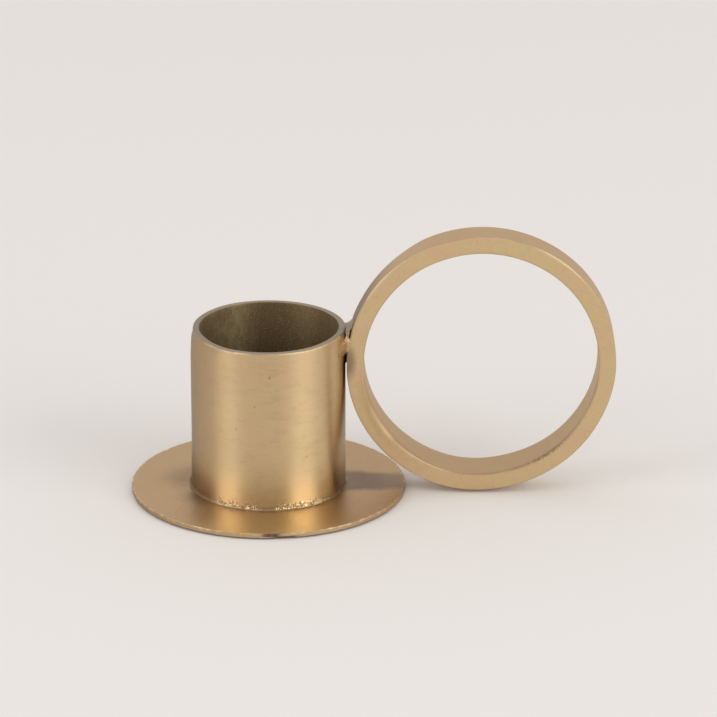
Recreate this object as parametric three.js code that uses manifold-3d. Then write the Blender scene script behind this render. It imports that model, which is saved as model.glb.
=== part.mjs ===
// A brass chamber candlestick: a short tube brazed upright on a round disc, with a flat bar bent into a
// ring and brazed to the tube's side as a finger handle. Millimetres, +Z up. The origin is on the tube's
// axis at the underside of the disc, and +X points from the tube to the ring.
import * as THREE from "three";
import { mergeVertices } from "three/addons/utils/BufferGeometryUtils.js";
import Module from "manifold-3d";

const wasm = await Module();
wasm.setup();

// The disc that the object stands on.
const DISC_RADIUS = 22.15;
const DISC_THICKNESS = 1.0;
const DISC_CHAMFER = 0.15;

// The cup, a length of tube for a 22 mm candle. Its lower end is closed by the disc.
const CUP_RADIUS = 12.5;
const CUP_WALL = 1.1;
const CUP_CHAMFER = 0.2;
const FLOOR_MARGIN = 0.3; // from the socket floor's own faces to the bore
const RIM_HEIGHT = 27.8; // above the ground

// The fillet of filler metal around the foot of the cup.
const FOOT_LEG = 0.7;
const FOOT_LAND = 0.12; // thickness left at the fillet's two thin edges
const FOOT_STEPS = 5;

// The ring, bent from flat bar. Its axis is along Y and it clears the ground a little.
const RING_RADIUS = 21.6;
const RING_BAR = 2.75; // radial thickness of the bar
const RING_WIDTH = 6.6;
const RING_CHAMFER = 0.35;
const RING_TO_CUP = 0.2;
const RING_LIFT = 0.4;
const RING_BACK = 1.0; // the ring was brazed on this far behind the cup's axis

// The filler in the butt joint where the two ends of the bar meet.
const SEAM_GAP = 0.6;
const SEAM_FROM_BOTTOM = THREE.MathUtils.degToRad(30); // towards +X

// The filler between the cup and the ring, with a hollow top like a valley.
const JOINT_WIDTH = 5.8;
const JOINT_BOTTOM = 23.0;
const JOINT_CUP_SIDE = 27.6;
const JOINT_VALLEY = 26.9;
const JOINT_RING_SIDE = 28.4;
const JOINT_CLEARANCE = 0.02; // between a filler and the brass it joins, so that no two solids overlap

const CUP_SEGMENTS = 96;
const DISC_SEGMENTS = 144;
const RING_SEGMENTS = 128;

const RING_CENTRE = new THREE.Vector3(
  CUP_RADIUS + RING_TO_CUP + RING_RADIUS,
  RING_BACK,
  RING_LIFT + RING_RADIUS,
);

// A closed geometry as a manifold-3d solid, with its shared vertices merged.
function solidOf(geometry) {
  const bare = geometry.clone();
  bare.deleteAttribute("normal");
  bare.deleteAttribute("uv");
  const merged = mergeVertices(bare, 1e-4);
  return new wasm.Manifold(
    new wasm.Mesh({
      numProp: 3,
      vertProperties: new Float32Array(merged.attributes.position.array),
      triVerts: new Uint32Array(merged.index.array),
    }),
  );
}

function geometryOf(solid) {
  const { vertProperties, triVerts } = solid.getMesh();
  const geometry = new THREE.BufferGeometry()
    .setAttribute("position", new THREE.BufferAttribute(new Float32Array(vertProperties), 3))
    .setIndex(new THREE.BufferAttribute(new Uint32Array(triVerts), 1));
  geometry.computeVertexNormals();
  return geometry;
}

// A profile of [radius, height] points turned about +Z.
function turnedAboutZ(profile, segments) {
  const points = profile.map(([radius, height]) => new THREE.Vector2(radius, height));
  return new THREE.LatheGeometry(points, segments).rotateX(Math.PI / 2);
}

// A profile of [radius, depth] points turned about the ring's axis, which is parallel to Y.
function turnedAboutRing(profile) {
  const points = profile.map(([radius, depth]) => new THREE.Vector2(radius, depth));
  const { x, y, z } = RING_CENTRE;
  return new THREE.LatheGeometry(points, RING_SEGMENTS).translate(x, y, z);
}

// The outline of a solid rod, for a cut.
function rodProfile(radius, low, high) {
  return [
    [0, low],
    [radius, low],
    [radius, high],
    [0, high],
  ];
}

// The top face has a circle of points just inside the cup's bore, so the socket floor has faces of its own.
function discGeometry() {
  const profile = [
    [0, 0],
    [DISC_RADIUS - DISC_CHAMFER, 0],
    [DISC_RADIUS, DISC_CHAMFER],
    [DISC_RADIUS, DISC_THICKNESS - DISC_CHAMFER],
    [DISC_RADIUS - DISC_CHAMFER, DISC_THICKNESS],
    [CUP_RADIUS - CUP_WALL - FLOOR_MARGIN, DISC_THICKNESS],
    [0, DISC_THICKNESS],
  ];
  return turnedAboutZ(profile, DISC_SEGMENTS);
}

function cupGeometry() {
  const bore = CUP_RADIUS - CUP_WALL;
  const profile = [
    [bore, DISC_THICKNESS],
    [CUP_RADIUS, DISC_THICKNESS],
    [CUP_RADIUS, RIM_HEIGHT - CUP_CHAMFER],
    [CUP_RADIUS - CUP_CHAMFER, RIM_HEIGHT],
    [bore + CUP_CHAMFER, RIM_HEIGHT],
    [bore, RIM_HEIGHT - CUP_CHAMFER],
    [bore, DISC_THICKNESS],
  ];
  return turnedAboutZ(profile, CUP_SEGMENTS);
}

// The fillet's outer face is a quarter circle, hollow towards the corner of the cup and the disc.
function footBrazeGeometry() {
  const hollow = FOOT_LEG - FOOT_LAND;
  const profile = [
    [CUP_RADIUS, DISC_THICKNESS],
    [CUP_RADIUS + FOOT_LEG, DISC_THICKNESS],
  ];
  for (let step = 0; step <= FOOT_STEPS; step++) {
    const angle = (step / FOOT_STEPS) * (Math.PI / 2);
    profile.push([
      CUP_RADIUS + FOOT_LEG - hollow * Math.sin(angle),
      DISC_THICKNESS + FOOT_LEG - hollow * Math.cos(angle),
    ]);
  }
  profile.push([CUP_RADIUS, DISC_THICKNESS + FOOT_LEG]);
  profile.push(profile[0]);
  return turnedAboutZ(profile, CUP_SEGMENTS);
}

// The bent bar before its butt joint is opened: a full ring with eased edges.
function wholeRing() {
  const inner = RING_RADIUS - RING_BAR;
  const side = RING_WIDTH / 2;
  const profile = [
    [inner, -side + RING_CHAMFER],
    [inner + RING_CHAMFER, -side],
    [RING_RADIUS - RING_CHAMFER, -side],
    [RING_RADIUS, -side + RING_CHAMFER],
    [RING_RADIUS, side - RING_CHAMFER],
    [RING_RADIUS - RING_CHAMFER, side],
    [inner + RING_CHAMFER, side],
    [inner, side - RING_CHAMFER],
    [inner, -side + RING_CHAMFER],
  ];
  return solidOf(turnedAboutRing(profile));
}

// A slab across the bar at the butt joint, in a plane through the ring's axis.
function seamSlab(thickness) {
  const { x, y, z } = RING_CENTRE;
  const reach = 2 * RING_BAR;
  const middle = RING_RADIUS - RING_BAR / 2;
  const slab = new THREE.BoxGeometry(thickness, 2 * RING_WIDTH, reach)
    .translate(0, 0, -middle)
    .rotateY(-SEAM_FROM_BOTTOM)
    .translate(x, y, z);
  return solidOf(slab);
}

function ringGeometry() {
  return geometryOf(wholeRing().subtract(seamSlab(SEAM_GAP)));
}

function seamBrazeGeometry() {
  return geometryOf(wholeRing().intersect(seamSlab(SEAM_GAP - 2 * JOINT_CLEARANCE)));
}

// The ring's outer face at a height above the ground, on the side next to the cup.
function ringFaceAt(height) {
  return RING_CENTRE.x - Math.sqrt(RING_RADIUS ** 2 - (height - RING_CENTRE.z) ** 2);
}

// The filler starts as a block seen from the front, then the cup and the ring are cut out of it.
function handleBrazeGeometry() {
  const cupSide = CUP_RADIUS - CUP_WALL;
  const ringSide = ringFaceAt(JOINT_RING_SIDE) + RING_BAR / 4;
  const valley = (CUP_RADIUS + ringFaceAt(JOINT_VALLEY)) / 2;
  const outline = new THREE.Shape()
    .moveTo(cupSide, JOINT_BOTTOM)
    .lineTo(ringSide, JOINT_BOTTOM)
    .lineTo(ringSide, JOINT_RING_SIDE)
    .lineTo(ringFaceAt(JOINT_RING_SIDE), JOINT_RING_SIDE)
    .quadraticCurveTo(valley, JOINT_VALLEY, CUP_RADIUS, JOINT_CUP_SIDE)
    .lineTo(cupSide, JOINT_CUP_SIDE);
  const block = new THREE.ExtrudeGeometry(outline, {
    depth: JOINT_WIDTH,
    bevelEnabled: false,
    curveSegments: 8,
  })
    .rotateX(Math.PI / 2)
    .translate(0, RING_BACK + JOINT_WIDTH / 2, 0);
  const cupRadius = CUP_RADIUS + JOINT_CLEARANCE;
  const ringRadius = RING_RADIUS + JOINT_CLEARANCE;
  const cup = solidOf(turnedAboutZ(rodProfile(cupRadius, 0, 2 * RIM_HEIGHT), CUP_SEGMENTS));
  const ring = solidOf(turnedAboutRing(rodProfile(ringRadius, -RING_WIDTH, RING_WIDTH)));
  return geometryOf(solidOf(block).subtract(cup).subtract(ring));
}

function brassMesh(name, geometry, colour, roughness) {
  const material = new THREE.MeshStandardMaterial({ color: colour, roughness, metalness: 1 });
  const mesh = new THREE.Mesh(geometry, material);
  mesh.name = name;
  return mesh;
}

const candlestick = new THREE.Group();
candlestick.add(
  brassMesh("base_disc", discGeometry(), 0xb08c5e, 0.38),
  brassMesh("candle_cup", cupGeometry(), 0xba9560, 0.4),
  brassMesh("cup_foot_braze", footBrazeGeometry(), 0xa58a58, 0.55),
  brassMesh("ring_handle", ringGeometry(), 0xc2a173, 0.42),
  brassMesh("ring_seam_braze", seamBrazeGeometry(), 0xae8d5c, 0.55),
  brassMesh("handle_braze", handleBrazeGeometry(), 0xa88a5a, 0.5),
);

export default candlestick;
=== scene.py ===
"""The looks of the brass candlestick: six finely shaped brass pieces, a plain studio and a camera."""

import math

import bmesh
import bpy
import numpy as np
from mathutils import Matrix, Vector, noise


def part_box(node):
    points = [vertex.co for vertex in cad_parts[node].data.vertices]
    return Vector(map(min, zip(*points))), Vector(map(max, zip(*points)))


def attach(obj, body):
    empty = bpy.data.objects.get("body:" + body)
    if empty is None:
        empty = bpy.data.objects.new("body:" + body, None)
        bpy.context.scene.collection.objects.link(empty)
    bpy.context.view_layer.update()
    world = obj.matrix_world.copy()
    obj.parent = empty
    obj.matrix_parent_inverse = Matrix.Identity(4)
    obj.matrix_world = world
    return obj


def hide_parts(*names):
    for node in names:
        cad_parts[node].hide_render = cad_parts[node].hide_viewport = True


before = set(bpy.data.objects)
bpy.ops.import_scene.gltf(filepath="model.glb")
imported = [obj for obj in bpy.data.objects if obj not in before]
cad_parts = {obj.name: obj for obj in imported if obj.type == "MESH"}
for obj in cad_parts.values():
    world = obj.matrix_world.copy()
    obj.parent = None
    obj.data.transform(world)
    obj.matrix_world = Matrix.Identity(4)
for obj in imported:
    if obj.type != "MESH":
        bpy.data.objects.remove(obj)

MM = 0.001
DEGREE = math.radians(1)
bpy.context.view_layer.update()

# ---------------------------------------------------------------- sizes, from the frame

DISC_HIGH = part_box("base_disc")[1]
CUP_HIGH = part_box("candle_cup")[1]
FOOT_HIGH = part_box("cup_foot_braze")[1]
RING_LOW, RING_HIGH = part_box("ring_handle")

DISC_RADIUS = DISC_HIGH.x
DISC_TOP = DISC_HIGH.z
CUP_RADIUS = CUP_HIGH.x
CUP_WALL = 1.1 * MM
BORE_RADIUS = CUP_RADIUS - CUP_WALL
RIM = CUP_HIGH.z
RIM_EASE_OUT = 0.24 * MM
RIM_EASE_IN = 0.14 * MM
FOOT_LEG = FOOT_HIGH.x - CUP_RADIUS
RING_CENTRE = (RING_LOW + RING_HIGH) / 2
RING_RADIUS = (RING_HIGH.x - RING_LOW.x) / 2
RING_BAR = 2.75 * MM
RING_INNER = RING_RADIUS - RING_BAR
RING_WIDTH = RING_HIGH.y - RING_LOW.y
SEAM_ANGLE = -60 * DEGREE  # from +X about the ring's axis, upwards
SEAM_GAP = 0.6 * MM
SEAM_REACH = SEAM_GAP / 2 / RING_RADIUS  # half of the gap, as an angle
SUNK = 0.04 * MM  # how far a bead of filler reaches into the brass beside it
SHARP_ANGLE = 55 * DEGREE


# ---------------------------------------------------------------- noise and masks

def smoothstep(low, high, x):
    t = np.clip((x - low) / (high - low), 0, 1)
    return t * t * (3 - 2 * t)


def wander(points, size, seed):
    """Smooth noise from about -1 to 1 at each point, with features of that size."""
    shift = Vector((seed * 3.7, seed * 1.3, seed * 2.1))
    flat = points.reshape(-1, 3) / size
    values = [noise.noise(Vector(p) + shift) for p in flat]
    return np.array(values).reshape(points.shape[:-1])


def rough(points, size, seed, octaves=3):
    """Noise with finer and finer features, for broken and granular surfaces."""
    total = 0
    for octave in range(octaves):
        total = total + wander(points, size / 2**octave, seed + octave) / 1.7**octave
    return total


def wrap_angle(angle):
    return (angle + math.pi) % (2 * math.pi) - math.pi


def near_turn(turn, at, half_width, radius=1):
    """1 near one turn, 0 away from it, with steep sides. With a radius, the half width is a length there."""
    return np.exp(-((wrap_angle(turn - at) * radius / half_width) ** 4))


def from_front(turn):
    """Degrees round the cup from its front, more than 0 on the ring's side."""
    return np.degrees(wrap_angle(turn + math.pi / 2))


# ---------------------------------------------------------------- mesh helpers

def skin(name, grid, wrap, marks):
    """A closed mesh over a grid of points [around][across]. A direction that doesn't wrap is closed by a fan
    at each end. Marks are named values over the grid, kept as attributes for the material."""
    index = np.arange(grid.shape[0] * grid.shape[1]).reshape(grid.shape[:2])
    rows = np.concatenate([index, index[:1]]) if wrap[0] else index
    cells = np.concatenate([rows, rows[:, :1]], axis=1) if wrap[1] else rows
    quads = np.stack([cells[:-1, :-1], cells[1:, :-1], cells[1:, 1:], cells[:-1, 1:]], axis=-1)
    vertices = grid.reshape(-1, 3).tolist()
    faces = quads.reshape(-1, 4).tolist()
    marks = {key: np.broadcast_to(value, index.shape).reshape(-1).tolist() for key, value in marks.items()}
    ends = []
    if not wrap[0]:
        ends += [index[0], index[-1]]
    if not wrap[1]:
        ends += [index[:, 0], index[:, -1]]
    for loop in ends:
        hub = len(vertices)
        vertices.append(np.mean([vertices[i] for i in loop], axis=0).tolist())
        for values in marks.values():
            values.append(float(np.mean([values[i] for i in loop])))
        faces += [[int(a), int(b), hub] for a, b in zip(loop, np.roll(loop, -1))]
    return smooth_piece(name, vertices, faces, marks)


def smooth_piece(name, vertices, faces, marks):
    """An object with its faces turned outwards, smooth but for sharp edges, with the marks on its points."""
    mesh = bpy.data.meshes.new(name)
    mesh.from_pydata(vertices, [], faces)
    for key, values in marks.items():
        mesh.attributes.new(key, "FLOAT", "POINT").data.foreach_set("value", values)
    work = bmesh.new()
    work.from_mesh(mesh)
    bmesh.ops.recalc_face_normals(work, faces=work.faces)
    work.to_mesh(mesh)
    work.free()
    mesh.shade_smooth()
    mesh.set_sharp_from_angle(angle=SHARP_ANGLE)
    piece = bpy.data.objects.new(name, mesh)
    bpy.context.scene.collection.objects.link(piece)
    return piece


def full_turn(steps):
    return np.linspace(0, 2 * math.pi, steps, endpoint=False)


def turned(radius, height, turn):
    """Points of a profile turned about Z. Radius and height are [around][across], [across] or one number."""
    turn = turn[:, None]
    return np.stack([radius * np.cos(turn), radius * np.sin(turn), height + 0 * turn], axis=-1)


def circle(radius, turn):
    """Points round Z at one radius, for noise that is the same all the way across a section."""
    return turned(radius, 0.0, turn)[:, 0]


def push_out(grid, amount):
    """Moves each point away from the Z axis."""
    outward = grid[..., :2] / np.linalg.norm(grid[..., :2], axis=-1)[..., None]
    grid[..., :2] += outward * amount[..., None]


def arc(centre, radius, start, end, steps):
    """Points on an arc of a profile, with start and end in degrees."""
    angle = np.radians(np.linspace(start, end, steps))
    return [(centre[0] + radius * math.cos(a), centre[1] + radius * math.sin(a)) for a in angle]


def straight(a, b, steps):
    """Points between two ends of a profile, without the ends."""
    along = np.linspace(0, 1, steps + 2)[1:-1]
    return [(a[0] + (b[0] - a[0]) * t, a[1] + (b[1] - a[1]) * t) for t in along]


# ---------------------------------------------------------------- the disc

def disc_profile():
    """Radius and height round half of the disc's section, from the middle below to the middle above."""
    hub = 0.3 * MM  # the fans that close the mesh fill the middle
    ease, ease_under = 0.07 * MM, 0.06 * MM
    flat_to, undercut = DISC_RADIUS - 3.5 * MM, 0.22 * MM  # the underside rises a little past there
    edge, edge_under = DISC_RADIUS - ease, DISC_RADIUS - ease_under
    fine_from = edge - 1 * MM
    profile = [(hub, 0)] + straight((hub, 0), (flat_to, 0), 12)
    profile += straight((flat_to, 0), (edge_under, undercut), 5)
    profile += arc((edge_under, undercut + ease_under), ease_under, -90, 0, 6)
    profile += straight((DISC_RADIUS, undercut + ease_under), (DISC_RADIUS, DISC_TOP - ease), 7)
    profile += arc((edge, DISC_TOP - ease), ease, 0, 90, 5)
    profile += straight((edge, DISC_TOP), (fine_from, DISC_TOP), 8)
    profile += straight((fine_from, DISC_TOP), (hub, DISC_TOP), 60) + [(hub, DISC_TOP)]
    return np.array(profile).T


def disc_chip(turn, height):
    """1 in the chip at the front of the disc's edge. Its lower half lies further towards the ring."""
    uneven = np.clip(1.0 + 0.4 * rough(circle(DISC_RADIUS, turn), 0.9 * MM, 13), 0.85, 1)
    upper_half = near_turn(turn, -87.3 * DEGREE, 1.5 * MM, DISC_RADIUS) * uneven
    lower_half = near_turn(turn, -82 * DEGREE, 2.0 * MM, DISC_RADIUS) * uneven
    high_up = smoothstep(0.40 * DISC_TOP, 0.60 * DISC_TOP, height)
    return upper_half[:, None] * high_up + lower_half[:, None] * (1 - high_up)


def make_disc():
    """Sheet disc. Its edge wanders, because it was sawn and filed by hand, and has a burr and a chip."""
    chip_depth, chip_drop, most_proud = 0.22 * MM, 0.15 * MM, 0.12 * MM
    radius, height = disc_profile()
    turn = full_turn(1100)
    grid = turned(radius, height, turn)
    around = circle(DISC_RADIUS, turn)
    chip = disc_chip(turn, height)
    rim = smoothstep(DISC_RADIUS - 0.7 * MM, DISC_RADIUS - 0.05 * MM, radius)
    upper = smoothstep(0.35 * DISC_TOP, DISC_TOP, height)
    on_top = height > 0.5 * DISC_TOP
    filing = 0.05 * MM * wander(around, 5 * MM, 1) + 0.03 * MM * rough(around, 1.1 * MM, 2)
    burr = 0.045 * MM * rough(grid, 0.7 * MM, 5) * upper
    proud = filing[:, None] * rim + (burr * (1 - chip) - chip_depth * chip) * rim**2
    push_out(grid, np.minimum(proud, most_proud))
    grid[..., 2] += 0.018 * MM * wander(grid, 7 * MM, 8) * on_top * (1 - rim)
    grid[..., 2] += (0.03 * MM * rough(grid, 0.8 * MM, 9, 2) - chip_drop * chip) * rim**3 * on_top
    # Wear on the top of the edge, with painted glints in it.
    wear_and_glints = rim**3 * upper**2 * (0.1 + 1.4 * rough(grid, 0.9 * MM, 11, 2))
    edge_face = smoothstep(DISC_RADIUS - 0.06 * MM, DISC_RADIUS, radius)
    browner = 0.52 + 0.48 * np.maximum(-np.cos(turn), 0) - 0.25 * np.maximum(np.cos(turn), 0)
    # Painted shade: the bottom of the disc's edge is darkened, standing in for the shadow under it.
    painted_underside_shade = smoothstep(0.34 * MM, 0.22 * MM, height) * rim
    marks = {"wear_and_glints": np.clip(wear_and_glints * (1 - chip), 0, 1), "chip": chip * rim**2,
             "edge": edge_face * browner[:, None], "painted_underside_shade": painted_underside_shade}
    return skin("base_disc_sheet", grid, (True, False), marks)


# ---------------------------------------------------------------- the cup

def cup_profile():
    """Radius and height round the tube's section, up its side, over the rim, down the bore and back."""
    fine_to = 3.2 * MM  # closer rows below there, for the grains
    outer_ease = (CUP_RADIUS - RIM_EASE_OUT, RIM - RIM_EASE_OUT)
    inner_ease = (BORE_RADIUS + RIM_EASE_IN, RIM - RIM_EASE_IN)
    profile = [(CUP_RADIUS, z) for z in np.linspace(DISC_TOP, fine_to, 28, endpoint=False)]
    profile += [(CUP_RADIUS, z) for z in np.linspace(fine_to, RIM - RIM_EASE_OUT, 110)]
    profile += arc(outer_ease, RIM_EASE_OUT, 0, 90, 9)[1:]
    profile += straight((outer_ease[0], RIM), (inner_ease[0], RIM), 3)
    profile += arc(inner_ease, RIM_EASE_IN, 90, 180, 7)
    profile += straight((BORE_RADIUS, inner_ease[1]), (BORE_RADIUS, DISC_TOP), 60) + [(BORE_RADIUS, DISC_TOP)]
    profile += straight((BORE_RADIUS, DISC_TOP), (CUP_RADIUS, DISC_TOP), 2)
    return np.array(profile).T


def cup_lean(turn, height, side):
    """How far the cup leans in on its left, more towards the rim, where its side is filed back as well."""
    lean = 0.10 * smoothstep(3 * MM, 9 * MM, height) + 0.10 * smoothstep(RIM - 5 * MM, RIM - 2 * MM, height)
    lean = lean + 0.22 * smoothstep(RIM - 2.6 * MM, RIM, height) + 0.10 * (height > RIM - 1.3 * MM) * side
    return lean * MM * near_turn(turn, math.pi, 10 * MM, CUP_RADIUS)[:, None]


def rim_glints(turn):
    """Painted glints on the front of the rim's outer corner."""
    front = from_front(turn)
    left = smoothstep(-26, -22, front) * smoothstep(-9, -13, front)
    right = smoothstep(8, 12, front) * smoothstep(29, 25, front)
    return 0.8 * (left + right)


def pits(grid):
    """Small pits in the cup's side, from 0 to 1."""
    places = [  # degrees from the front, then height and size in mm
        (3, 23.6, 0.20), (68, 24.5, 0.28), (-22, 14.5, 0.12), (-38, 20.5, 0.10), (31, 9.5, 0.11),
        (-8, 18.6, 0.10), (150, 18.0, 0.2), (-120, 9.0, 0.15), (-160, 21.0, 0.14), (100, 12.0, 0.15),
    ]
    depth = 0
    for degrees, height, size in places:
        turn = (degrees - 90) * DEGREE
        centre = np.array([CUP_RADIUS * math.cos(turn), CUP_RADIUS * math.sin(turn), height * MM])
        away = np.linalg.norm(grid - centre, axis=-1) / (size * MM)
        depth = depth + np.exp(-(away**2))
    return depth


def foot_grain(turn):
    """How granular the cup's foot is: in set patches in front, and random ones at the sides and behind."""
    front = from_front(turn)
    grain = smoothstep(0.15, 0.5, wander(circle(CUP_RADIUS, turn), 5 * MM, 44))
    grain = grain * smoothstep(56, 75, np.abs(front))
    for start, end, weight in [(-39, -20, 1), (-16, -4, 1), (7, 40, 1), (40, 53, 0.5)]:
        patch = smoothstep(start - 2, start + 2, front) * smoothstep(end + 2, end - 2, front)
        grain = np.maximum(grain, weight * patch)
    return grain


def make_cup():
    """Tube with hand-eased rim corners, faint dents, pits, spattered filler at its foot and a crust inside.
    It leans in a little on its left, and its rim is a little lower in front."""
    pit_depth, rim_drop = 0.1 * MM, 0.22 * MM
    radius, height = cup_profile()
    turn = full_turn(900)
    grid = turned(radius, height, turn)
    side = radius > CUP_RADIUS - 0.6 * RIM_EASE_OUT
    inside = radius < BORE_RADIUS + 0.5 * RIM_EASE_IN
    near_rim = smoothstep(RIM - 0.5 * MM, RIM, height)
    dents = 0.012 * MM * wander(grid, 9 * MM, 21) + 0.004 * MM * wander(grid, 2.5 * MM, 22)
    crust = 0.022 * MM * rough(grid, 0.9 * MM, 25)
    filed = 0.07 * MM * np.clip(rough(grid, 1.6 * MM, 28) + 0.1, 0, 1) * near_rim
    pit = side * pits(grid)
    ragged = 0.75 * MM * rough(grid, 0.9 * MM, 36, 2)
    spatter = side * smoothstep(2.45 * MM, 1.7 * MM, height - ragged) * foot_grain(turn)[:, None]
    grains = 0.055 * MM * spatter * rough(grid, 0.42 * MM, 30)
    shape = side * (dents - filed) + inside * crust - cup_lean(turn, height, side)
    push_out(grid, shape - pit_depth * pit + grains)
    grid[..., 2] += near_rim * 0.03 * MM * wander(grid, 6 * MM, 31)
    grid[..., 2] -= near_rim * rim_drop * smoothstep(-0.3, -1, np.sin(turn))[:, None]
    # Wear on the rim's outer corner, with painted glints at its front.
    wear_and_glints = side * near_rim * (0.1 + 1.6 * wander(grid, 3.5 * MM, 33) + rim_glints(turn)[:, None])
    marks = {"wear_and_glints": np.clip(wear_and_glints, 0, 1), "inside": 1.0 * inside, "pit": pit, "grainy": spatter,
             "top": smoothstep(RIM - 0.10 * MM, RIM - 0.02 * MM, height)}
    return skin("candle_cup_tube", grid, (True, True), marks)


# ---------------------------------------------------------------- the filler round the foot

def make_foot_braze():
    """Fillet of filler round the cup's foot: hollow and smooth, with grains on its upper part in patches."""
    rise_share, front_share, more_at_side = 1.30, 0.55, 0.22
    turn = full_turn(1300)
    around = circle(CUP_RADIUS, turn)
    at_side = smoothstep(32, 60, np.abs(from_front(turn) - 2))[:, None]
    uneven = (0.18 * wander(around, 4 * MM, 41) + 0.12 * wander(around, 1.3 * MM, 42))[:, None]
    grainy = foot_grain(turn)[:, None]
    leg = FOOT_LEG * (front_share + more_at_side * at_side + uneven)
    rise = FOOT_LEG * (rise_share + uneven)
    sweep = np.radians(np.linspace(0, 90, 27))  # from the toe on the disc to the lip on the cup
    radius = CUP_RADIUS + leg - (leg + SUNK) * np.sin(sweep)
    height = DISC_TOP + rise - (rise + SUNK) * np.cos(sweep)
    # Three points inside the brass close the section.
    hidden_radius = CUP_RADIUS + np.array([-2 * SUNK, -2 * SUNK, 0.3 * MM])
    hidden_height = DISC_TOP + np.array([0.3 * MM, -2 * SUNK, -2 * SUNK])
    radius = np.hstack([radius, np.tile(hidden_radius, (len(turn), 1))])
    height = np.hstack([height, np.tile(hidden_height, (len(turn), 1))])
    grid = turned(radius, height, turn)

    unseen = [0.0, 0.0, 0.0]
    upper = np.append(smoothstep(0.35, 0.8, sweep) * smoothstep(1.57, 1.50, sweep), unseen)
    middle = np.append(np.sin(2 * sweep), unseen)
    lip = np.append(smoothstep(1.15, 1.30, sweep), unseen)
    toe = np.append(smoothstep(0.75, 0.1, sweep), unseen)
    lump = 0.13 * MM * rough(grid, 0.45 * MM, 47, 2) * grainy * upper
    lump = lump + (0.02 + 0.05 * at_side) * MM * rough(grid, 1.2 * MM, 51, 2) * middle
    lump = 0.7 * lump  # out and up by equal parts
    push_out(grid, lump)
    grid[..., 2] += lump
    # Dark filler, partly painted shade: darkest at the sides, lighter at the lip and toe in front and on the
    # grains.
    dark_filler_and_shade = (0.80 + 0.20 * at_side) * (1 - 0.55 * np.maximum(lip, toe) * (1 - at_side))
    marks = {"grainy": grainy * upper, "dark_filler_and_shade": dark_filler_and_shade * (1 - 0.7 * grainy * upper), "top": 0.0}
    return skin("cup_foot_filler", grid, (True, True), marks)


# ---------------------------------------------------------------- the ring and its butt joint

def bar_eases(turn, line):
    """The radii of the bar's four corners at each turn: outer front, outer back, inner back and inner front,
    which is rounded more by wear low on the ring's left."""
    sizes = [0.16 * MM, 0.42 * MM, 0.42 * MM, 0.15 * MM]
    eases = []
    for number, size in enumerate(sizes):
        uneven = 0.2 * wander(line, 11 * MM, 61 + number) + 0.12 * wander(line, 2 * MM, 71 + number)
        eases.append(size * (0.75 + uneven))
    eases[3] += 0.62 * MM * near_turn(turn, 213 * DEGREE, 22 * DEGREE)
    eases[3] += 0.20 * MM * near_turn(turn, 242 * DEGREE, 13 * DEGREE)
    return eases


def bar_section(eases):
    """The flat bar's section at each turn as (radius, depth) grids, and how near a corner each point is."""
    side = RING_WIDTH / 2
    corners = [(RING_RADIUS, -side), (RING_RADIUS, side), (RING_INNER, side), (RING_INNER, -side)]
    sweep = np.radians(np.linspace(0, 90, 8))
    arcs = []
    for number, (r, y) in enumerate(corners):
        size = eases[number][:, None]
        angle = sweep + 90 * (number - 1) * DEGREE
        middle_r = r - size * (1 if r == RING_RADIUS else -1)
        middle_y = y - size * (1 if y == side else -1)
        arcs.append((middle_r + size * np.cos(angle), middle_y + size * np.sin(angle)))
    radius, depth, at_corner = [], [], []
    along = np.linspace(0, 1, 9)[1:-1]
    for (r, y), (next_r, next_y) in zip(arcs, arcs[1:] + arcs[:1]):
        radius += [r, r[:, -1:] + (next_r[:, :1] - r[:, -1:]) * along]
        depth += [y, y[:, -1:] + (next_y[:, :1] - y[:, -1:]) * along]
        at_corner += [np.sin(2 * sweep) ** 0.5, 0 * along]
    return np.concatenate(radius, axis=1), np.concatenate(depth, axis=1), np.concatenate(at_corner)


def ring_bend(turn, depth):
    """How far outside a true circle the bar is. Its back edge is bent in, most above and below."""
    fuller = 0.15 * near_turn(turn, 60 * DEGREE, 40 * DEGREE)
    flatter = 0.34 * near_turn(turn, -52 * DEGREE, 42 * DEGREE)
    taper = 0.36 * np.sin(turn) ** 2 + 0.25 * near_turn(turn, 140 * DEGREE, 20 * DEGREE)
    towards_back = depth / RING_WIDTH + 0.5
    return MM * ((fuller - flatter)[:, None] - taper[:, None] * towards_back)


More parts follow.
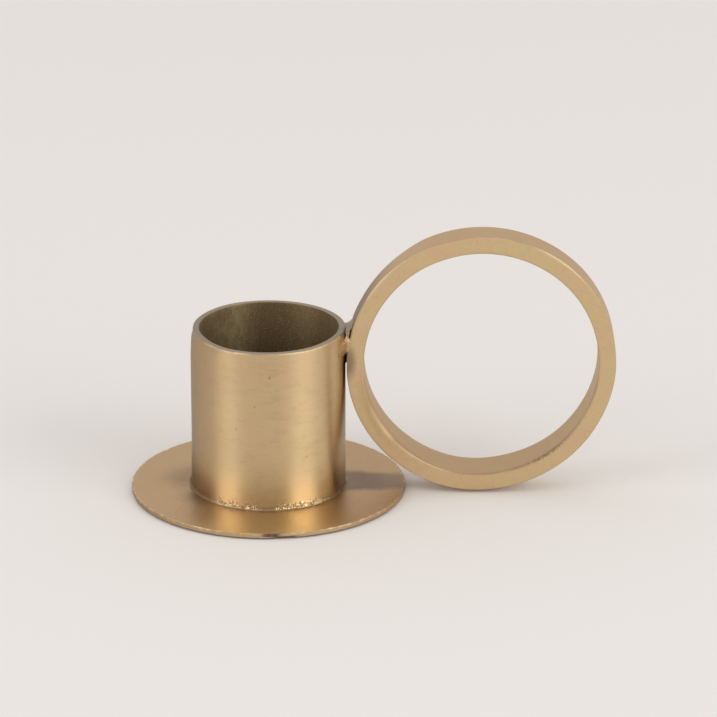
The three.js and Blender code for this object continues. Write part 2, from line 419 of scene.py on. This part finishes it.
def ring_piece(name, turn):
    """A length of the bent bar, with unevenly eased corners. The inner front one is rough at the joint."""
    unit = np.stack([np.cos(turn), 0 * turn, np.sin(turn)], axis=-1)
    line = RING_RADIUS * unit
    radius, depth, at_corner = bar_section(bar_eases(turn, line))
    grid = unit[:, None, :] * radius[..., None]
    grid[..., 1] = depth

    inner_away = np.hypot(radius - RING_INNER, depth + RING_WIDTH / 2)
    outer_away = np.hypot(radius - RING_RADIUS, depth + RING_WIDTH / 2)
    near_seam = near_turn(turn, SEAM_ANGLE + 6 * DEGREE, 5 * MM, RING_RADIUS)[:, None]
    at_seam = near_turn(turn, SEAM_ANGLE, 0.35 * MM, RING_RADIUS)[:, None]
    inner_front = smoothstep(0.65 * MM, 0.1 * MM, inner_away)
    outer_front = smoothstep(0.5 * MM, 0.1 * MM, outer_away)

    bend = 0.05 * MM * wander(line, 16 * MM, 81)[:, None] + 0.006 * MM * wander(grid, 3 * MM, 82)
    nick = 0.17 * MM * np.clip(rough(grid, 0.55 * MM, 84), -0.2, 1) * near_seam * inner_front
    nick = nick + 0.12 * MM * at_seam * inner_front
    grid += unit[:, None, :] * (bend + ring_bend(turn, depth) + nick)[..., None]
    grid[..., 1] += 0.04 * MM * wander(line, 14 * MM, 86)[:, None] + 0.6 * nick
    grid += np.array(RING_CENTRE)

    # Painted highlights: two spots on the outer front corner are painted bright.
    painted_sheen = near_turn(turn, 142 * DEGREE, 8 * DEGREE) + near_turn(turn, 53 * DEGREE, 11 * DEGREE)
    wear_and_glints = at_corner * (0.1 + 1.2 * wander(grid, 5 * MM, 88)) + 0.9 * painted_sheen[:, None] * outer_front
    soft = near_turn(turn, 212 * DEGREE, 22 * DEGREE)[:, None] * smoothstep(2.2 * MM, 0.9 * MM, inner_away)
    broken = np.clip(0.6 + 0.8 * wander(line, 3 * MM, 90), 0, 1)
    seam_side = near_turn(turn, -46 * DEGREE, 44 * DEGREE) * broken
    marks = {
        "wear_and_glints": np.clip(wear_and_glints * (1 - near_seam * inner_front), 0, 1),
        "edge": at_corner,
        "rough": near_seam * inner_front,
        "soft": soft,
        "dark_line": seam_side[:, None] * smoothstep(0.34 * MM, 0.12 * MM, inner_away),
        "inner": smoothstep(RING_INNER + 0.2 * MM, RING_INNER, radius),
        "outer": smoothstep(RING_RADIUS - 0.15 * MM, RING_RADIUS, radius),
    }
    return skin(name, grid, (False, True), marks)


def make_ring():
    """Bar bent into a ring that is open at its butt joint."""
    turn = np.linspace(SEAM_ANGLE + SEAM_REACH, SEAM_ANGLE + 2 * math.pi - SEAM_REACH, 760)
    return ring_piece("ring_handle_bar", turn)


def make_seam():
    """The filler in the butt joint, filed flush with the bar."""
    turn = np.linspace(SEAM_ANGLE - SEAM_REACH, SEAM_ANGLE + SEAM_REACH, 9)
    return ring_piece("ring_seam_filler", turn)


# ---------------------------------------------------------------- the filler between the cup and the ring

def closed_curve(points, steps):
    """A smooth closed curve through the points."""
    points = np.array(points, float)
    count = len(points)
    out = []
    for step in range(steps):
        place = step * count / steps
        i, t = int(place), place % 1
        a, b, c, d = (points[(i + k) % count] for k in (-1, 0, 1, 2))
        bent = (2 * a - 5 * b + 4 * c - d) * t**2 + (3 * b - a - 3 * c + d) * t**3
        out.append(0.5 * (2 * b + (c - a) * t + bent))
    return np.array(out)


def cup_face(outline):
    """The cup's outer face, as X, at each (y, height) on the ring's side."""
    return np.sqrt(CUP_RADIUS**2 - outline[:, 0] ** 2)


def ring_face(outline):
    """The ring's outer face, as X, at each (y, height) on the cup's side."""
    return RING_CENTRE.x - np.sqrt(RING_RADIUS**2 - (outline[:, 1] - RING_CENTRE.z) ** 2)


def handle_outlines():
    """The filler's outline at the cup, half-way and at the ring, as (y, height) in mm, from the top round the
    back to the bottom and up the front. Each outline has the same number of points."""
    at_cup = [
        (-1.6, 27.78), (0.3, 27.8), (2.6, 27.8), (4.2, 27.5), (4.8, 26.4), (4.7, 24.4), (3.4, 22.4),
        (1.4, 21.1), (-0.6, 21.6), (-2.2, 22.9), (-4.2, 24.0), (-5.4, 24.9), (-5.0, 25.9), (-2.8, 26.6),
    ]
    middle = [
        (-1.3, 26.9), (0.3, 26.7), (2.0, 26.7), (2.9, 26.5), (3.1, 26.0), (3.1, 24.9), (2.4, 23.2),
        (1.1, 21.8), (0.2, 22.0), (-0.4, 23.3), (-1.9, 24.4), (-2.37, 25.0), (-2.37, 25.8), (-1.9, 26.3),
    ]
    at_ring = [
        (-2.0, 28.4), (0.3, 28.6), (2.4, 28.6), (3.8, 28.3), (4.2, 27.0), (4.2, 24.4), (3.4, 22.4),
        (1.4, 21.1), (-0.6, 21.6), (-1.6, 22.9), (-2.3, 24.0), (-2.37, 24.8), (-2.37, 25.9), (-2.36, 27.0),
    ]
    return [closed_curve(outline, 260) * MM for outline in (at_cup, middle, at_ring)]


def make_handle_braze():
    """Filler between the cup's wall and the ring: a quadratic blend of three outlines. Its front runs into
    the ring's face, with two slits above a speckled lip, and its top is a valley."""
    into_ring, under_rim, slit_depth = 0.22 * MM, 0.30 * MM, 1.2 * MM
    at_cup, middle, at_ring = handle_outlines()
    across = np.linspace(0, 1, 61)
    weights = [(1 - across) ** 2, 2 * across * (1 - across), across**2]
    sides = [cup_face(at_cup) - SUNK - under_rim * smoothstep(27.2 * MM, 27.6 * MM, at_cup[:, 1]),
             (cup_face(middle) + ring_face(middle)) / 2,
             ring_face(at_ring) + into_ring]
    x = sum(side[:, None] * weight for side, weight in zip(sides, weights))
    outlines = zip((at_cup, middle, at_ring), weights)
    y, z = np.moveaxis(sum(outline[:, None, :] * weight[:, None] for outline, weight in outlines), -1, 0)

    slit = np.exp(-(((across - 0.20) / 0.07) ** 4)) + 0.8 * np.exp(-(((across - 0.77) / 0.07) ** 4))
    slit = slit * smoothstep(0.6 * MM, -1.0 * MM, y) * smoothstep(26.5 * MM, 27.0 * MM, z)
    y = y + slit_depth * slit
    z = z - 0.25 * MM * slit
    grid = np.stack([x, y, z], axis=-1)
    speckled = np.exp(-(((z - 26.15 * MM) / (0.4 * MM)) ** 2)) * smoothstep(-1.0 * MM, -1.9 * MM, y)
    speckled = speckled * smoothstep(0.04, 0.16, across)
    lump = (0.008 + 0.08 * speckled) * MM * rough(grid, 0.40 * MM, 91) * np.sin(math.pi * across) ** 0.5
    grid[..., 1] -= lump
    grid[..., 2] += 0.5 * lump
    top = smoothstep(26.6 * MM, 27.1 * MM, z) * (1 - slit)
    return skin("handle_filler", grid, (True, False), {"grainy": speckled, "dark_filler_and_shade": 0.0, "top": top})


# ---------------------------------------------------------------- material nodes

class Recipe:
    """Builds one material's nodes. Every texture uses the object's own coordinates."""

    def __init__(self, name):
        self.material = bpy.data.materials.new(name)
        self.material.use_nodes = True
        self.tree = self.material.node_tree
        self.tree.nodes.clear()
        self.shader = self.node("ShaderNodeBsdfPrincipled")
        output = self.node("ShaderNodeOutputMaterial")
        self.tree.links.new(self.shader.outputs[0], output.inputs["Surface"])
        self.place = self.node("ShaderNodeTexCoord").outputs["Object"]

    def node(self, kind, settings=None, inputs=None):
        made = self.tree.nodes.new(kind)
        for key, value in (settings or {}).items():
            setattr(made, key, value)
        for key, value in (inputs or {}).items():
            self.feed(made.inputs[key], value)
        return made

    def feed(self, socket, value):
        if isinstance(value, bpy.types.NodeSocket):
            self.tree.links.new(value, socket)
        else:
            socket.default_value = value

    def math(self, operation, a, b=0.0, clamp=False):
        settings = {"operation": operation, "use_clamp": clamp}
        return self.node("ShaderNodeMath", settings, {0: a, 1: b}).outputs[0]

    def times(self, first, *others):
        """The product of masks and numbers."""
        for other in others:
            first = self.math("MULTIPLY", first, other)
        return first

    def step(self, value, low, high):
        """0 below low, 1 above high, smooth between."""
        inputs = {"Value": value, "From Min": low, "From Max": high}
        return self.node("ShaderNodeMapRange", {"interpolation_type": "SMOOTHSTEP"}, inputs).outputs[0]

    def blend(self, amount, a, b):
        return self.node("ShaderNodeMix", {"data_type": "FLOAT"}, {0: amount, 2: a, 3: b}).outputs[0]

    def mix(self, amount, a, b):
        return self.node("ShaderNodeMix", {"data_type": "RGBA"}, {0: amount, 6: a, 7: b}).outputs[2]

    def paint(self, colour, new, *amounts):
        """The colour, covered by a new one as far as the product of the amounts."""
        return self.mix(self.times(*amounts), colour, new)

    def paint_marks(self, colour, layers):
        """The colour with a layer over each mark: (mark, strength, new colour)."""
        for mark, strength, new in layers:
            colour = self.paint(colour, new, self.mark(mark), strength)
        return colour

    def mark(self, name):
        return self.node("ShaderNodeAttribute", {"attribute_name": name}).outputs["Fac"]

    def axes(self):
        return self.node("ShaderNodeSeparateXYZ", inputs={0: self.place}).outputs[:3]

    def noise(self, size, detail=3.0, roughness=0.55, place=None):
        inputs = {"Vector": place or self.place, "Scale": 1 / size, "Detail": detail, "Roughness": roughness}
        return self.node("ShaderNodeTexNoise", {"noise_dimensions": "3D"}, inputs).outputs[0]

    def stretched(self, stretch):
        """Object coordinates with each axis multiplied by a factor."""
        inputs = {0: self.place, 1: stretch}
        return self.node("ShaderNodeVectorMath", {"operation": "MULTIPLY"}, inputs).outputs[0]

    def streaks(self, stretch, detail, roughness):
        """Noise in stretched coordinates."""
        return self.noise(1.0, detail, roughness, self.stretched(stretch))

    def scratches(self, turns, width, length):
        """Fine lines, 1 on a line and 0 off it, running along X turned by each set of degrees."""
        found = 0.0
        for number, turn in enumerate(turns):
            inputs = {"Vector": self.place, "Rotation": [math.radians(a) for a in turn],
                      "Scale": (length, width, width), "Location": (number, 2 * number, 0)}
            place = self.node("ShaderNodeMapping", {"vector_type": "TEXTURE"}, inputs).outputs[0]
            line = self.step(self.noise(1.0, 1.0, 0.5, place), 0.66, 0.74)
            found = self.math("MAXIMUM", found, line)
        return found

    def distance(self, point, stretch=(1, 1, 1)):
        """How far each place is from a point, with each axis multiplied by a factor."""
        ends = {0: self.stretched(stretch), 1: [p * k for p, k in zip(point, stretch)]}
        return self.node("ShaderNodeVectorMath", {"operation": "DISTANCE"}, ends).outputs["Value"]

    def near(self, point, inner, outer, stretch=(1, 1, 1)):
        """1 within the inner distance of a point, 0 past the outer one."""
        return self.step(self.distance(point, stretch), outer, inner)

    def bumps(self, heights):
        """Chains bumps of (height socket, distance), and feeds the shader's normal."""
        normal = None
        for height, distance in heights:
            inputs = {"Height": height, "Distance": distance, "Strength": 1.0}
            if normal:
                inputs["Normal"] = normal
            normal = self.node("ShaderNodeBump", inputs=inputs).outputs[0]
        self.feed(self.shader.inputs["Normal"], normal)

    def finish(self, colour, roughness, metallic=1.0):
        self.feed(self.shader.inputs["Base Color"], colour)
        self.feed(self.shader.inputs["Roughness"], roughness)
        self.feed(self.shader.inputs["Metallic"], metallic)
        return self.material


# ---------------------------------------------------------------- colours

BRASS_PINK = (0.665, 0.475, 0.285, 1)
BRASS_YELLOW = (0.655, 0.50, 0.275, 1)
BRASS_BROWN = (0.40, 0.27, 0.16, 1)
BRASS_BRIGHT = (0.95, 0.76, 0.47, 1)
DISC_BROWN = (0.56, 0.39, 0.22, 1)
DISC_REFLECTION_GOLD = (0.705, 0.57, 0.335, 1)
OXIDE = (0.205, 0.140, 0.066, 1)
OXIDE_AND_REFLECTION_LIGHT = (0.38, 0.295, 0.16, 1)
OXIDE_AND_SHADE_DEEP = (0.105, 0.063, 0.026, 1)
CHIP_BROWN = (0.17, 0.10, 0.085, 1)
FILLER = (0.56, 0.40, 0.22, 1)
FILLER_DARK = (0.235, 0.14, 0.07, 1)
GRAIN_GLINT = (1.0, 0.86, 0.62, 1)
EDGE_TINT = (0.86, 0.81, 0.80, 1)
CUP_EDGE_TINT = (0.60, 0.64, 0.68, 1)
TARNISH_AND_SHADE = (0.24, 0.16, 0.12, 1)
HEAT_STAIN_AND_SHADOW_GREY = (0.23, 0.17, 0.135, 1)
GREY = (0.44, 0.375, 0.29, 1)
GREY_DARK = (0.34, 0.29, 0.23, 1)
FLOOR_PINK = (0.870, 0.846, 0.832, 1)
FLOOR_GREY = (0.870, 0.848, 0.835, 1)
WORLD_COLOUR = (1.0, 0.965, 0.94, 1)
LIGHT_COLOUR = (0.985, 1.0, 0.95)


# ---------------------------------------------------------------- materials

def patina(recipe, size):
    """Brass whose tint drifts a little between pinkish and yellowish, with small darker specks."""
    drift = recipe.step(recipe.noise(size, 4.0, 0.6), 0.35, 0.65)
    speck = recipe.step(recipe.noise(0.5 * MM, 3.0, 0.6), 0.62, 0.74)
    return recipe.paint(recipe.mix(drift, BRASS_PINK, BRASS_YELLOW), BRASS_BROWN, speck, 0.3)


def granular(recipe, colour, grain, pits_from, pit_strength):
    """The colour with grains painted bright as glints, and dark pits, where the mark grainy is."""
    grainy = recipe.mark("grainy")
    colour = recipe.paint(colour, GRAIN_GLINT, grainy, recipe.step(grain, 0.54, 0.62))
    pit = recipe.step(recipe.noise(0.3 * MM, 3.0, 0.6), pits_from, 0.40)
    return recipe.paint(colour, TARNISH_AND_SHADE, grainy, pit, pit_strength)


def ring_shadow_on_disc(recipe, x, y):
    """The ring's painted shadow on the disc, from the cup out under the ring, with a ragged edge."""
    ragged = recipe.times(recipe.math("SUBTRACT", recipe.noise(3 * MM, 3.0), 0.5), 2.5 * MM)
    narrowing = recipe.times(recipe.math("SUBTRACT", x, CUP_RADIUS), 0.10)
    away = recipe.math("ABSOLUTE", recipe.math("SUBTRACT", y, 0.2 * MM))
    away = recipe.math("ADD", recipe.math("ADD", away, narrowing), ragged)
    outside_cup = recipe.step(x, 11 * MM, 12 * MM)
    fading = recipe.blend(recipe.step(x, 15 * MM, 21 * MM), 0.95, 0.70)
    return recipe.times(recipe.step(away, 5.2 * MM, 2.9 * MM), outside_cup, fading)


def cloud_left_of_cup(recipe):
    """A darker cloud on the disc left of the cup."""
    cloud = recipe.near((-12.5 * MM, 1.5 * MM, DISC_TOP), 0.5 * MM, 7 * MM)
    front_part = recipe.near((-10.8 * MM, -6.4 * MM, DISC_TOP), 0.5 * MM, 4.6 * MM)
    uneven = recipe.blend(recipe.noise(3 * MM, 4.0), 0.6, 1.2)
    return recipe.math("MULTIPLY", recipe.math("MAXIMUM", cloud, front_part), uneven, clamp=True)


def disc_material():
    """Satin brass, browner on the right, with a painted golden reflection in front, a painted shadow of the
    ring, a darker cloud, heat stains and a crust in the cup.
    """
    recipe = Recipe("satin_disc_brass")
    x, y = recipe.axes()[:2]
    brown = recipe.blend(recipe.step(x, 5 * MM, 14 * MM), 0.50, 0.82)
    colour = recipe.mix(brown, patina(recipe, 6 * MM), DISC_BROWN)
    forward = recipe.math("ADD", y, recipe.times(recipe.math("ABSOLUTE", x), 0.5))
    front = recipe.step(forward, -9 * MM, -15 * MM)
    # Painted reflection: the front of the disc is painted gold, where it mirrors the cup's highlights.
    reflection_amount = recipe.blend(recipe.step(x, 0, 7 * MM), 0.58, 0.40)
    colour = recipe.paint(colour, DISC_REFLECTION_GOLD, front, reflection_amount)
    # Painted shadow of the ring on the disc.
    colour = recipe.paint(colour, HEAT_STAIN_AND_SHADOW_GREY, ring_shadow_on_disc(recipe, x, y), 0.95)
    colour = recipe.paint(colour, TARNISH_AND_SHADE, cloud_left_of_cup(recipe), 0.62)

    foot = recipe.near((0, 0, DISC_TOP), CUP_RADIUS + 0.4 * MM, CUP_RADIUS + 3.5 * MM)
    patchy = recipe.step(recipe.noise(4 * MM, 3.0), 0.4, 0.65)
    colour = recipe.paint(colour, BRASS_BROWN, foot, patchy, recipe.math("SUBTRACT", 1.0, front), 0.35)
    in_cup = recipe.near((0, 0, DISC_TOP), BORE_RADIUS - 0.3 * MM, BORE_RADIUS)
    crust = recipe.mix(recipe.step(recipe.noise(0.9 * MM, 5.0, 0.7), 0.42, 0.68), OXIDE_AND_SHADE_DEEP, OXIDE_AND_REFLECTION_LIGHT)
    colour = recipe.paint(colour, crust, in_cup, 0.9)
    lines = recipe.scratches([(0, 0, 20), (0, 0, -48), (0, 0, 75)], 0.16 * MM, 9 * MM)
    colour = recipe.paint(colour, BRASS_BROWN, lines, 0.25)
    # Painted shade: the last mark darkens the bottom of the edge. The bright marks are wear with painted
    # glints.
    colour = recipe.paint_marks(colour, [("edge", 0.8, BRASS_BROWN), ("wear_and_glints", 0.6, BRASS_BRIGHT),
                                         ("chip", 1.0, CHIP_BROWN), ("painted_underside_shade", 0.85, OXIDE_AND_SHADE_DEEP)])

    satin = recipe.blend(recipe.noise(1.5 * MM, 4.0), 0.32, 0.47)
    roughness = recipe.blend(in_cup, recipe.blend(recipe.mark("chip"), satin, 0.6), 0.6)
    recipe.shader.inputs["Specular Tint"].default_value = EDGE_TINT
    fine, broad = recipe.noise(0.28 * MM, 4.0, 0.6), recipe.noise(2.2 * MM, 2.0)
    recipe.bumps([(fine, 0.004 * MM), (broad, 0.012 * MM)])
    return recipe.finish(colour, roughness)


def painted_highlight_columns(recipe, colour, x, height):
    """The colour with two upright painted highlights in front, brighter low down and dimmed near the rim, and
    painted shade on the middle between them low down."""
    off_middle = recipe.math("ABSOLUTE", x)
    off_column = recipe.math("ABSOLUTE", recipe.math("SUBTRACT", off_middle, 6 * MM))
    highlight_column = recipe.step(off_column, 3.6 * MM, 0.6 * MM)
    middle = recipe.step(off_middle, 4 * MM, 1 * MM)
    low = recipe.step(height, 12 * MM, 4 * MM)
    high = recipe.step(height, 15 * MM, 23 * MM)
    # Painted highlights and painted shade, fixed in front of the cup.
    colour = recipe.paint(colour, BRASS_BRIGHT, highlight_column, low, 0.34)
    painted_dimming = recipe.math("MAXIMUM", recipe.times(highlight_column, high, 0.2), recipe.times(middle, low, 0.3))
    return recipe.paint(colour, BRASS_BROWN, painted_dimming)


def cup_outside(recipe, brushing, x, height):
    """The cup's brushed side, with painted shade on its left, a painted reflection on its right and heat
    stains at its foot.
    """
    colour = recipe.paint(patina(recipe, 5 * MM), BRASS_BROWN, recipe.step(brushing, 0.50, 0.72), 0.20)
    clouds = recipe.step(recipe.streaks((260, 260, 700), 4.0, 0.65), 0.50, 0.66)
    colour = recipe.paint(colour, BRASS_BROWN, clouds, 0.16)
    colour = recipe.paint(colour, TARNISH_AND_SHADE, recipe.mark("pit"), 0.8)
    # Painted shade: the cup's left side is browned.
    colour = recipe.paint(colour, BRASS_BROWN, recipe.step(x, -5 * MM, -9.5 * MM), 0.48)
    heat_left = recipe.near((-10.9 * MM, -6.0 * MM, 0.5 * MM), 2 * MM, 6.5 * MM)
    heat_right = recipe.near((12.1 * MM, -3.2 * MM, 0.5 * MM), 2 * MM, 6.5 * MM)
    colour = recipe.paint(colour, TARNISH_AND_SHADE, recipe.math("MAXIMUM", heat_left, heat_right), 0.50)
    # Painted reflection: the cup's right side, next to the ring, is lightened.
    colour = recipe.paint(colour, BRASS_BRIGHT, recipe.step(x, 7.5 * MM, 9.5 * MM), 0.2)
    colour = painted_highlight_columns(recipe, colour, x, height)
    return granular(recipe, colour, recipe.noise(0.28 * MM, 3.0, 0.6), 0.48, 0.6)


def cup_inside(recipe, crust, x, height):
    """The bore's dark oxide, with painted shade making it deeper low down and painted reflections lighter at
    both sides.
    """
    # Painted shade: the oxide is darker low in the bore.
    oxide = recipe.mix(recipe.step(height, 8 * MM, 27 * MM), OXIDE_AND_SHADE_DEEP, OXIDE)
    # Painted reflections: lighter patches at the bore's left and right.
    reflection_right = recipe.times(recipe.step(x, 1 * MM, 7 * MM), 0.12)
    strength = recipe.blend(recipe.step(x, -8 * MM, -10 * MM), 0.52, 0.22)
    reflection_left = recipe.times(recipe.step(x, -1 * MM, -6 * MM), strength)
    mottle = recipe.step(recipe.streaks((700, 700, 480), 4.0, 0.65), 0.38, 0.64)
    painted_sheen = recipe.math("MAXIMUM", reflection_left, reflection_right)
    oxide = recipe.paint(oxide, OXIDE_AND_REFLECTION_LIGHT, painted_sheen, recipe.blend(mottle, 0.4, 1.5))
    return recipe.mix(recipe.step(crust, 0.50, 0.74), oxide, OXIDE_AND_REFLECTION_LIGHT)


def cup_material():
    """Brass brushed round the cup, which spreads its highlights up and down. Dark oxide crust inside."""
    recipe = Recipe("brushed_cup_brass")
    x, _, height = recipe.axes()
    brushing = recipe.streaks((500, 500, 4500), 4.0, 0.7)
    crust = recipe.noise(0.30 * MM, 4.0, 0.65)
    inner = recipe.mark("inside")
    colour = cup_outside(recipe, brushing, x, height)
    # The rim's top is grey. The bright marks on its corner are wear with painted glints.
    colour = recipe.paint_marks(colour, [("top", 0.85, GREY), ("wear_and_glints", 0.7, BRASS_BRIGHT)])
    colour = recipe.mix(inner, colour, cup_inside(recipe, crust, x, height))
    satin = recipe.blend(recipe.step(height, 3 * MM, 24 * MM), 0.27, 0.38)
    satin = recipe.math("ADD", satin, recipe.times(recipe.streaks((90, 90, 1200), 2.0, 0.5), 0.08))
    recipe.bumps([(brushing, 0.004 * MM), (crust, 0.004 * MM)])
    recipe.shader.inputs["Anisotropic"].default_value = 0.8
    recipe.shader.inputs["Anisotropic Rotation"].default_value = 0.25
    recipe.shader.inputs["Specular Tint"].default_value = CUP_EDGE_TINT
    tangent = recipe.node("ShaderNodeTangent", {"direction_type": "RADIAL", "axis": "Z"})
    recipe.feed(recipe.shader.inputs["Tangent"], tangent.outputs[0])
    return recipe.finish(colour, recipe.blend(inner, satin, 0.5), recipe.blend(inner, 1.0, 0.5))


def ring_material():
    """Satin brass, stained by heat next to the handle's filler, and rough and dark at the butt joint."""
    recipe = Recipe("satin_ring_brass")
    joint = (CUP_RADIUS + 0.4 * MM, RING_CENTRE.y - RING_WIDTH / 2, RIM - 5.3 * MM)
    stain = recipe.near(joint, 0.7 * MM, 3.0 * MM, (1.7, 1, 0.75))
    uneven = recipe.blend(recipe.noise(1.6 * MM, 3.0), 0.75, 1.1)
    colour = recipe.paint(patina(recipe, 4.5 * MM), TARNISH_AND_SHADE, stain, uneven, 0.85)
    soot = recipe.near((CUP_RADIUS + 0.8 * MM, RING_CENTRE.y, RIM + 0.5 * MM), 3 * MM, 14 * MM)
    colour = recipe.paint(colour, HEAT_STAIN_AND_SHADOW_GREY, soot, recipe.mark("outer"), 0.90)
    lines = recipe.scratches([(0, 15, 0), (0, -40, 0), (0, 80, 0)], 0.16 * MM, 7 * MM)
    colour = recipe.paint(colour, BRASS_BROWN, lines, 0.22)
    # The bright marks on the corners are wear with painted highlights.
    colour = recipe.paint_marks(colour, [("inner", 0.28, BRASS_BROWN), ("edge", 0.5, BRASS_BROWN),
                                         ("wear_and_glints", 0.5, BRASS_BRIGHT), ("dark_line", 0.6, TARNISH_AND_SHADE)])
    grains = recipe.step(recipe.noise(0.3 * MM, 3.0), 0.55, 0.42)
    colour = recipe.paint(colour, TARNISH_AND_SHADE, recipe.mark("rough"), grains, 0.85)
    satin = recipe.blend(recipe.noise(2 * MM, 4.0), 0.36, 0.52)
    fine, broad = recipe.noise(0.22 * MM, 4.0, 0.65), recipe.noise(1.4 * MM, 3.0)
    recipe.bumps([(fine, 0.006 * MM), (broad, 0.012 * MM)])
    recipe.shader.inputs["Specular Tint"].default_value = EDGE_TINT
    return recipe.finish(colour, recipe.blend(recipe.mark("soft"), satin, 0.72))


def braze_material():
    """Filler metal: smooth brass, with grains painted bright as glints and dark pits where it's granular."""
    recipe = Recipe("granular_filler")
    grain = recipe.noise(0.16 * MM, 4.0, 0.7)
    colour = recipe.paint_marks(FILLER, [("top", 0.9, GREY_DARK), ("dark_filler_and_shade", 1.0, FILLER_DARK)])
    colour = granular(recipe, colour, grain, 0.52, 0.7)
    # Painted shade in the crevice under the filler, between the cup and the ring.
    crevice_shade = recipe.near((CUP_RADIUS, RING_CENTRE.y - 2.2 * MM, RIM - 4.9 * MM), 0.8 * MM, 2.2 * MM)
    colour = recipe.paint(colour, TARNISH_AND_SHADE, crevice_shade, 0.85)
    smooth, grainy = recipe.blend(grain, 0.38, 0.5), recipe.blend(grain, 0.15, 0.4)
    recipe.bumps([(grain, 0.012 * MM)])
    return recipe.finish(colour, recipe.blend(recipe.mark("grainy"), smooth, grainy))


def floor_material():
    """A matt floor. It glows a little far off, where the softboxes light it less, to match the background."""
    recipe = Recipe("plain_pale_floor")
    far = recipe.step(recipe.distance((0, 0, 0)), 500 * MM, 1600 * MM)
    recipe.shader.inputs["Emission Color"].default_value = WORLD_COLOUR
    recipe.feed(recipe.shader.inputs["Emission Strength"], recipe.times(far, 0.095))
    return recipe.finish(recipe.mix(recipe.noise(400 * MM, 2.0), FLOOR_PINK, FLOOR_GREY), 0.8, 0.0)


# ---------------------------------------------------------------- the studio

def make_floor():
    half = 6.0
    corners = [(-half, -half, 0), (half, -half, 0), (half, half, 0), (-half, half, 0)]
    mesh = bpy.data.meshes.new("floor")
    mesh.from_pydata(corners, [], [(0, 1, 2, 3)])
    floor = bpy.data.objects.new("floor", mesh)
    bpy.context.scene.collection.objects.link(floor)
    mesh.materials.append(floor_material())


def aim(obj, azimuth, elevation, distance, target):
    """Puts an object round a target and turns it there. Azimuth 0 is in front, and 90 is towards +X."""
    a, e = azimuth * DEGREE, elevation * DEGREE
    away = Vector((math.sin(a) * math.cos(e), -math.cos(a) * math.cos(e), math.sin(e)))
    obj.location = Vector(target) + distance * away
    obj.rotation_euler = (-away).to_track_quat("-Z", "Y").to_euler()


def softbox(name, azimuth, width, power):
    light = bpy.data.lights.new(name, "AREA")
    light.shape = "RECTANGLE"
    light.size = width
    light.size_y = 1.0
    light.energy = power
    light.color = LIGHT_COLOUR
    lamp = bpy.data.objects.new(name, light)
    bpy.context.scene.collection.objects.link(lamp)
    elevation, distance, target = 22, 1.5, (0.01, 0, 0.02)
    aim(lamp, azimuth, elevation, distance, target)


def make_lights():
    world = bpy.data.worlds.new("studio")
    bpy.context.scene.world = world
    world.use_nodes = True
    sky = world.node_tree.nodes["Background"]
    sky.inputs["Color"].default_value = WORLD_COLOUR
    sky.inputs["Strength"].default_value = 0.752
    softbox("key_right", 56, 1.0, 7.6)
    softbox("fill_left", -62, 0.9, 5.0)


def make_camera():
    """The photo's camera, worked out from the outlines of the rim, the disc and the ring."""
    data = bpy.data.cameras.new("camera")
    data.sensor_width = 36
    data.lens = 213.3
    data.clip_end = 50
    camera = bpy.data.objects.new("camera", data)
    bpy.context.scene.collection.objects.link(camera)
    azimuth, elevation, distance = 0.66, 20.46, 0.6827
    target = (0.01459, 0, 0.02232)
    aim(camera, azimuth, elevation, distance, target)
    bpy.context.scene.camera = camera


def set_colours():
    view = bpy.context.scene.view_settings
    view.view_transform = "Standard"
    view.look = "None"


# ---------------------------------------------------------------- putting it together

def fit(piece, material, node):
    piece.data.materials.append(material)
    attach(piece, "root")
    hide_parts(node)


filler = braze_material()
ring_brass = ring_material()
fit(make_disc(), disc_material(), "base_disc")
fit(make_cup(), cup_material(), "candle_cup")
fit(make_foot_braze(), filler, "cup_foot_braze")
fit(make_ring(), ring_brass, "ring_handle")
fit(make_seam(), ring_brass, "ring_seam_braze")
fit(make_handle_braze(), filler, "handle_braze")

make_floor()
make_lights()
make_camera()
set_colours()
